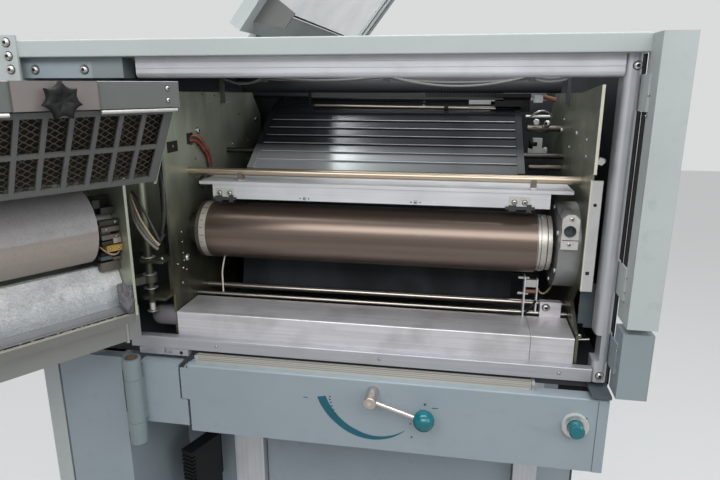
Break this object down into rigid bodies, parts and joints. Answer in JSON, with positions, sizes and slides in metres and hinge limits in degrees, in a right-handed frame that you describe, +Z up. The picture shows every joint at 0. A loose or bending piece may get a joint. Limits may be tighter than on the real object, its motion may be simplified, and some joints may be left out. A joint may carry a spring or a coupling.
{
  "type": "continuous feed printer, toner fixing end with its inner unit swung open",
  "caption": "Web-fed printer cabinet open at its fixing end: drum, ribbed paper guide, swing-out roller unit, front bar with lever and button, and a hinged lid.",
  "frame": {"origin": "on the floor, under the middle of the cabinet", "axes": "+X to the right seen from the front, +Y into the machine, +Z up"},
  "size_m": [1.1477, 1.5687, 1.8709],
  "materials": {
    "light_paint": "fine textured powder coat, pale grey-green",
    "grey_paint": "fine textured powder coat, blue-grey",
    "dark_paint": "dull dark paint",
    "aluminium": "brushed along its length, scuffed",
    "olive_plate": "zinc plated and chromated, olive",
    "drum_bronze": "dull brown coated roller",
    "cast_metal": "machined casting, satin",
    "chrome": "bright",
    "gunmetal": "dark anodised, satin",
    "slate": "dark slate sheet",
    "unit_grey": "smooth warm grey paint",
    "fleece": "pale cleaning fleece",
    "roller_coat": "pale roller covering, worn brown",
    "black_plastic": "moulded black plastic",
    "cable_sheath": "grey cable sheath",
    "light_plastic": "pale grey plastic",
    "teal_plastic": "glossy teal plastic",
    "window": "clear dusty sheet"
  },
  "bodies": {
    "cabinet": {"base_plinth": "dark_paint", "lower_housing": "grey_paint", "deck_plate": "dark_paint", "rear_housing": "dark_paint", "left_side_panel": "grey_paint", "right_side_panel": "grey_paint", "rear_panel": "grey_paint", "top_cover": "light_paint", "left_corner_post": "light_paint", "top_front_rail": "light_paint", "left_front_panel": "grey_paint", "left_bay_wall": "dark_paint", "alu_top_rail": "aluminium", "rail_bracket": "grey_paint", "alu_right_post": "aluminium", "alu_sill": "aluminium", "side_covers": "light_paint", "left_side_plate": "olive_plate", "right_side_plate": "olive_plate", "drum_bearings": "cast_metal", "tie_bar": "chrome", "scraper_beam": "aluminium", "drip_tray": "aluminium", "paper_guide": "gunmetal", "paper_bed": "gunmetal", "lower_guide_plate": "slate", "guide_rods": "chrome", "cross_tube": "dark_paint", "bay_posts": "aluminium", "bay_panel": "grey_paint", "finned_block": "black_plastic", "cable_bar": "dark_paint", "hanging_cables": "cable_sheath", "hinge_bracket": "olive_plate", "barrel_hinge_fixed": "light_paint", "lid_hinges": "light_paint"},
    "drum": {"drum_roller": "drum_bronze", "drum_rings": "aluminium"},
    "inner_unit": {"unit_hood": "unit_grey", "unit_case": "unit_grey", "unit_grille": "unit_grey", "unit_bottom_bar": "aluminium", "unit_fleece": "fleece", "unit_hinge_arms": "olive_plate"},
    "backing_roller": {"backing_roller": "roller_coat"},
    "knob_left": {"star_knob_left": "black_plastic"},
    "knob_right": {"star_knob_right": "black_plastic"},
    "front_bar": {"barrel_hinge_moving": "light_paint", "narrow_panel": "grey_paint", "control_panel": "grey_paint", "bar_spine": "dark_paint", "panel_end_cap": "grey_paint", "grip_strip": "aluminium", "button_ring": "light_plastic"},
    "lever": {"lever_arm": "chrome", "lever_ball": "teal_plastic"},
    "button": {"push_button": "teal_plastic"},
    "lid": {"lid_frame": "light_paint", "lid_window": "window"}
  },
  "joints": [
    {"name": "drum_spin", "type": "hinge", "parent": "cabinet", "child": "drum", "pos_m": [0.091, -0.3545, 1.118], "axis": [1, 0, 0], "continuous": true},
    {"name": "inner_unit_hinge", "type": "hinge", "parent": "cabinet", "child": "inner_unit", "pos_m": [-0.256, -0.4575, 1.18], "axis": [0, 0, 1], "range_deg": [0, 122.1]},
    {"name": "backing_roller_spin", "type": "hinge", "parent": "inner_unit", "child": "backing_roller", "pos_m": [-0.44651, -0.73109, 1.158], "axis": [-0.5314, -0.8471, 0], "continuous": true},
    {"name": "knob_left_turn", "type": "hinge", "parent": "inner_unit", "child": "knob_left", "pos_m": [-0.17631, -0.72942, 1.342], "axis": [0.8471, -0.5314, 0], "continuous": true},
    {"name": "knob_right_turn", "type": "hinge", "parent": "inner_unit", "child": "knob_right", "pos_m": [-0.33095, -0.97593, 1.342], "axis": [0.8471, -0.5314, 0], "continuous": true},
    {"name": "front_bar_hinge", "type": "hinge", "parent": "cabinet", "child": "front_bar", "pos_m": [-0.279, -0.4975, 0.859], "axis": [0, 0, -1], "range_deg": [0, 100]},
    {"name": "lever_turn", "type": "hinge", "parent": "front_bar", "child": "lever", "pos_m": [0.11, -0.4975, 0.906], "axis": [0, 1, 0], "range_deg": [0, 155]},
    {"name": "button_press", "type": "slide", "parent": "front_bar", "child": "button", "axis": [0, 1, 0], "range_m": [0, 0.006], "stiffness_N_per_m": 600},
    {"name": "lid_hinge", "type": "hinge", "parent": "cabinet", "child": "lid", "pos_m": [-0.106, -0.0005, 1.429], "axis": [0, 1, 0], "range_deg": [0, 52]}
  ]
}
